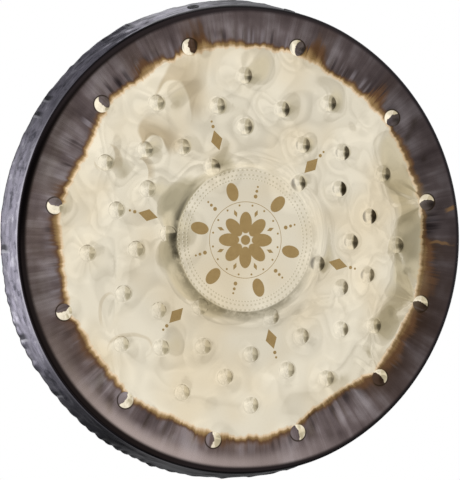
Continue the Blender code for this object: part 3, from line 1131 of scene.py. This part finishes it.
def face_normal(gong, inner_dents, marks):
    """The fine relief; its masks are simple, since a bump works its height out three times."""
    ringed = gong.between(gong.edge, -0.006, 0.014)
    crumple = gong.times(
        gong.streaks(21.0, 0.42, 1.0),
        ringed,
        gong.between(gong.reach, 0.94, 0.88),
        gong.by_clock(CRUMPLED),
    )
    layers = (
        (gong.times(gong.less(gong.hairs, 0.5), ringed), 0.15, 0.0004),
        (gong.times(marks, -1.0), 0.3, 0.0006),
        (puckers(gong), 1.0, PUCKER_HEIGHT),
        (gong.times(gong.blot, inner_dents), 1.0, 0.00016),
        (crumple, 1.0, 0.0022),
        (gong.times(gong.noise(gong.place, 420.0), ringed), 0.10, 0.0003),
    )
    normal = None
    for height, strength, distance in layers:
        normal = gong.bump(height, strength, distance, normal)
    return normal


def bronze_face():
    """The front and outer side: polished middle, heat-toned fringe, oxidised ring and flange."""
    made, gong, shader = principled("bronze_face", FaceGraph)
    dents = dent_masks(gong)
    worn = gong.blend(dents.spared, worn_edge(gong), gong.blend(dents.dark, -0.05, 0.06))
    patch = gong.patches(gong.sweep, RING_PATCHES)
    oxide = ring_colour(gong, worn, patch)

    # From the polish through the fringe out to the ring
    width = fringe_width(gong)
    narrow = gong.over(worn, width)
    toned = gong.over(worn, gong.times(gong.blend(patch, 0.8, 1.35), width))
    colour = gong.lay(polish_colour(gong), HALO, gong.between(worn, -0.016, -0.004))
    fringe = gong.lay(FRINGE, FRINGE_DEEP, gong.by_clock(FRINGE_BURNS))
    colour = gong.lay(colour, fringe, gong.between(narrow, -0.006, 0.005))
    colour = gong.lay(colour, FRINGE_DEEP, gong.between(narrow, 0.002, 0.018))
    colour = gong.lay(colour, oxide, gong.between(toned, 0.012, 0.040))

    # Dents
    colour = gong.lay(colour, BARE, dents.spared, gong.less(1.0, dents.dark))
    colour = gong.lay(colour, oxide, dents.spared, dents.dark)
    # Painted shade round the outer dents' rims
    colour = gong.lay(colour, DENT_RIM_SHADE, dents.outline, 0.85)
    # Inner dents: oxide residue with painted shade on their dark side
    shaded_residue = gong.lay(RESIDUE_AND_SHADE, RESIDUE_AND_SHADE_DARK, gong.between(gong.kind, 0.45, 0.72))
    colour = gong.lay(colour, shaded_residue, dents.residue_and_shade)
    colour = gong.lay(colour, RESIDUE_AND_SHADE, dents.thin, 0.6)

    # Shoulder and flange
    band = gong.less(gong.reach, gong.by_clock(BAND_SHIFT))
    on_shoulder = gong.between(band, 0.955, 0.973)
    flange_start = gong.less(gong.reach, gong.by_clock(FLANGE_SHIFT))
    on_flange = gong.between(flange_start, 1.002, 1.010)
    colour = gong.lay(colour, SHOULDER, on_shoulder)
    colour = gong.lay(colour, flange_colour(gong), on_flange)
    # Painted highlight along the crease between shoulder and flange
    crease = gong.between(gong.off(gong.reach, 1.011), 0.008, 0.001)
    colour = gong.lay(colour, CREASE_HIGHLIGHT, crease, gong.by_clock(CREASE_HIGHLIGHT_BY_CLOCK))

    # Painted shade, print and punch marks
    colour = with_painted_shade(gong, colour)
    ink = ornament(gong)
    marks = punched(gong)
    colour = gong.lay(colour, PUNCHED, marks, 0.22)
    colour = gong.lay(colour, gong.lay(INK, INK_LIGHT, gong.noise(gong.place, 90.0)), ink)

    dull = gong.most((gong.between(toned, -0.008, 0.012), dents.residue_and_shade))
    smooth = gong.blend(gong.noise(gong.place, 24.0), 0.04, 0.08)
    rough = gong.blend(dull, smooth, gong.blend(gong.hairs, 0.22, 0.32))
    rough = gong.blend(on_shoulder, rough, 0.20)
    rough = gong.blend(on_flange, rough, 0.20)
    finish = {
        "Base Color": colour,
        "Roughness": gong.blend(ink, rough, 0.48),
        "Metallic": gong.blend(ink, 1.0, 0.35),
        "Normal": face_normal(gong, dents.inner, marks),
    }
    gong.fill(shader, finish)
    return made


def bronze_back():
    """The back: oxidised all over, with brushed streaks and brown patches."""
    made, gong, shader = principled("bronze_back", GongGraph)
    fine = gong.streaks(60.0, 0.5, 4.0)
    brown = gong.between(gong.noise(gong.place, 7.0, 4.0, 0.6), 0.48, 0.68)
    tone = gong.ramp(fine, ((0.3, BACK_DARK), (0.52, BACK), (0.75, BACK_LIGHT)))
    finish = {
        "Base Color": gong.lay(tone, BACK_BROWN, brown),
        "Roughness": gong.blend(fine, 0.32, 0.5),
        "Metallic": 1.0,
        "Normal": gong.bump(fine, 0.3, 0.0006),
    }
    gong.fill(shader, finish)
    return made


def rubber():
    made, graph, shader = principled("grommet_rubber")
    place = graph.add("ShaderNodeTexCoord", {}, "Object")
    speckle = graph.noise(place, 900.0)
    finish = {
        "Base Color": graph.ramp(speckle, ((0.3, RUBBER), (0.7, RUBBER_LIGHT))),
        "Roughness": graph.blend(speckle, 0.5, 0.7),
        "Normal": graph.bump(speckle, 0.2, 0.0002),
    }
    graph.fill(shader, finish)
    return made


# Grommets

def hole_frame(side):
    radius, depth = meridian(HOLE_REACH)
    flat_radius = float(radius) * math.cos(math.pi / FACETS)
    return (
        Matrix.Rotation(side * HOLE_ANGLE, 4, "Y")
        @ Matrix.Translation((0.0, float(depth), flat_radius))
        @ Matrix.Rotation(FLANGE_FLARE, 4, "X")
    )


def rounded(corner_in, corner, corner_out, radius, steps=4):
    """Points of a small curve that replaces one corner of a profile."""
    start = corner + (corner_in - corner).normalized() * radius
    end = corner + (corner_out - corner).normalized() * radius
    points = []
    for step in range(steps + 1):
        t = step / steps
        points.append(start * (1 - t) ** 2 + corner * 2 * t * (1 - t) + end * t**2)
    return points


def grommet(name, side, finish):
    """A turned rubber ring with rounded lips and a groove for the sheet."""
    top = GAP + LIP
    bottom = -(SHEET + GAP + LIP)
    neck = HOLE_RADIUS - GAP
    corners = [
        (BORE_RADIUS, top, LIP_ROUND),
        (LIP_RADIUS, top, LIP_ROUND),
        (LIP_RADIUS, GAP, GROOVE_ROUND),
        (neck, GAP, NECK_ROUND),
        (neck, -(SHEET + GAP), NECK_ROUND),
        (LIP_RADIUS, -(SHEET + GAP), GROOVE_ROUND),
        (LIP_RADIUS, bottom, LIP_ROUND),
        (BORE_RADIUS, bottom, LIP_ROUND),
    ]
    outline = []
    for number, (x, z, radius) in enumerate(corners):
        before = Vector(corners[number - 1][:2])
        after = Vector(corners[(number + 1) % len(corners)][:2])
        outline += rounded(before, Vector((x, z)), after, radius)
    mesh = bpy.data.meshes.new(name)
    edges = [(step, (step + 1) % len(outline)) for step in range(len(outline))]
    mesh.from_pydata([(p.x, 0.0, p.y) for p in outline], edges, [])
    made = placed(name, mesh)
    made.matrix_world = hole_frame(side)
    turn = made.modifiers.new("turn", "SCREW")
    turn.axis = "Z"
    turn.steps = GROMMET_SIDES
    turn.render_steps = GROMMET_SIDES
    turn.use_merge_vertices = True
    turn.merge_threshold = 0.00001
    turn.use_smooth_shade = True
    mesh.materials.append(finish)
    return made


# Stage, light and camera

FLOOR_HALF = 1.7
FLOOR_HEIGHT = -0.70
KEY_PLACE = (2.2, -2.6, 2.4)
KEY_SIZE = 2.0
KEY_POWER = 110

# The room's light by azimuth in degrees, 0 being what the gong's face looks at
COOL_LEFT = (
    (-180, 0.45), (-165, 0.30), (-150, 0.55), (-134, 0.90),
    (-120, 1.20), (-104, 0.80), (-92, 0.16), (-60, 0.10),
)
WARM_AHEAD = (
    (-45, 0.10), (-30, 0.16), (-20, 0.22), (-15, 0.28), (-11, 0.42), (0, 0.46),
    (6, 0.56), (10, 0.76), (13, 0.96), (20, 0.99), (40, 1.02), (60, 1.12),
)
COOL_RIGHT = ((78, 0.50), (110, 0.35), (140, 0.30), (159, 0.32), (168, 0.90), (180, 0.45))
# Edges in the room ahead: azimuth, how they lean, how dark they start, where they fade out
SHELVES = (
    (29.5, 0.5, 0.16, 5.0),
    (25.0, -0.5, 0.12, 4.0),
    (21.2, 0.7, 0.14, 3.6),
    (17.4, -0.4, 0.20, 4.5),
    (13.6, 0.5, 0.28, 5.5),
    (8.6, -0.6, 0.30, 8.0),
)
SHELF_SHADE = (0.30, 0.27, 0.20, 1.0)
CORNER_SHADE = (0.10, 0.10, 0.11, 1.0)
CEILING = (1.14, 1.12, 1.06, 1.0)
LOW_WALL = (0.86, 0.83, 0.74, 1.0)
GROUND = (0.42, 0.39, 0.30, 1.0)
WHITE = (1.0, 1.0, 1.0, 1.0)


def floor():
    low, high = -FLOOR_HALF, FLOOR_HALF
    corners = [(x, y, FLOOR_HEIGHT) for x, y in ((low, low), (high, low), (high, high), (low, high))]
    mesh = bpy.data.meshes.new("floor")
    mesh.from_pydata(corners, [], [(0, 1, 2, 3)])
    ground = placed("floor", mesh)
    material, graph, shader = principled("floor_paper")
    graph.fill(shader, {"Base Color": PAPER, "Roughness": 0.9})
    mesh.materials.append(material)
    ground.visible_glossy = False


def cool_light(level):
    return (level, level, level * 1.03, 1.0)


def warm_light(level):
    """Olive where it is dim, white where it is bright."""
    warm = min(max((0.95 - level) / 0.45, 0.0), 1.0)
    return (level, level * (1 - 0.04 * warm), level * (1 - 0.19 * warm), 1.0)


def studio():
    """A soft studio: a broad bright side to the right, an olive wall ahead, dark to the left."""
    world = bpy.data.worlds.new("studio")
    bpy.context.scene.world = world
    graph = Graph(world)
    graph.tree.nodes.clear()
    way = graph.add("ShaderNodeTexCoord", {}, "Generated")
    x, y, z = graph.separate(way)
    azimuth = graph.math("ARCTAN2", x, graph.times(y, -1.0))
    across = graph.math("DEGREES", azimuth)
    height = graph.math("DEGREES", graph.math("ARCSINE", z))
    stops = []
    for light, table in ((cool_light, COOL_LEFT), (warm_light, WARM_AHEAD), (cool_light, COOL_RIGHT)):
        stops += [(degrees / 360 + 0.5, light(level)) for degrees, level in table]
    level = graph.ramp(graph.plus(graph.over(azimuth, TAU), 0.5), stops)
    for edge, slant, depth, fade in SHELVES:
        place = graph.plus(across, graph.times(height, slant))
        begun = graph.between(place, edge + 0.25, edge - 0.25)
        left = graph.between(place, edge - fade, edge, smooth=False)
        level = graph.lay(level, SHELF_SHADE, begun, left, depth)
    behind_left = graph.between(across, -104.0, -114.0)
    steep = graph.most((graph.between(height, 12.0, 38.0), graph.between(height, -22.0, -36.0)))
    level = graph.lay(level, CORNER_SHADE, behind_left, steep, 0.85)
    rear_low = graph.times(graph.between(y, 0.0, 0.2), graph.between(height, -5.0, -20.0))
    rear_low = graph.times(rear_low, graph.between(x, -0.25, 0.05))
    level = graph.vector("MULTIPLY", level, graph.blend(rear_low, 1.0, 0.3))
    ahead = graph.between(y, 0.15, -0.15)
    level = graph.lay(level, CEILING, ahead, graph.between(height, 22.0, 48.0), 0.8)
    low = graph.times(ahead, graph.between(height, 2.5, -5.0))
    level = graph.vector("MULTIPLY", level, graph.blend(low, 1.0, 1.07))
    window = graph.times(graph.between(across, -75.0, -50.0), graph.between(across, 15.0, 9.0))
    level = graph.lay(level, LOW_WALL, low, window, 0.7)
    level = graph.lay(level, GROUND, ahead, graph.between(height, -11.0, -28.0), 0.4)
    large = graph.between(graph.noise(way, 3.5, 1.0), 0.47, 0.53)
    small = graph.between(graph.noise(way, 10.0, 1.0), 0.46, 0.52)
    clutter = graph.times(graph.blend(large, 0.93, 1.0), graph.blend(small, 0.94, 1.0))
    level = graph.vector("MULTIPLY", level, clutter)
    shown = graph.add("ShaderNodeLightPath", {}, "Is Camera Ray")
    back = graph.add("ShaderNodeBackground", {"Color": graph.lay(level, WHITE, shown)})
    output = graph.tree.nodes.new("ShaderNodeOutputWorld")
    graph.feed(output.inputs["Surface"], back)


def lamp(name, place, size, power):
    light = bpy.data.lights.new(name, "AREA")
    light.shape = "SQUARE"
    light.size = size
    light.energy = power
    made = placed(name, light)
    made.location = place
    made.rotation_euler = (-Vector(place)).to_track_quat("-Z", "Y").to_euler()
    made.visible_glossy = False


def camera():
    level = math.cos(CAMERA_ELEVATION)
    ahead = (math.sin(CAMERA_AZIMUTH) * level, math.cos(CAMERA_AZIMUTH) * level)
    back = Vector((-ahead[0], -ahead[1], math.sin(CAMERA_ELEVATION)))
    right = (-back).cross(Vector((0, 0, 1))).normalized()
    up = right.cross(-back)
    turned_right = right * math.cos(CAMERA_ROLL) + up * math.sin(CAMERA_ROLL)
    aside = (BOSS_PIXEL - FRAME_MIDDLE) / FOCAL_PIXELS * CAMERA_DISTANCE
    lens = bpy.data.cameras.new("camera")
    lens.sensor_fit = "VERTICAL"
    lens.sensor_height = SENSOR
    lens.lens = FOCAL_PIXELS / FRAME_HEIGHT * SENSOR
    made = placed("camera", lens)
    made.location = back * CAMERA_DISTANCE
    look = -turned_right * aside - made.location
    aim = look.to_track_quat("-Z", "Y") @ Matrix.Rotation(CAMERA_ROLL, 4, "Z").to_quaternion()
    made.rotation_euler = aim.to_euler()
    bpy.context.scene.camera = made


def main():
    camera()
    floor()
    studio()
    lamp("key", KEY_PLACE, KEY_SIZE, KEY_POWER)
    plate = sheet()
    plate.data.materials.append(bronze_face())
    plate.data.materials.append(bronze_back())
    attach(plate, "root")
    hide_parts("gong_plate")
    finish = rubber()
    for node, side in (("grommet_left", -1), ("grommet_right", 1)):
        made = grommet(node + "_turned", side, finish)
        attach(made, "root")
        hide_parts(node)
    bpy.context.scene.view_settings.view_transform = "Standard"


main()
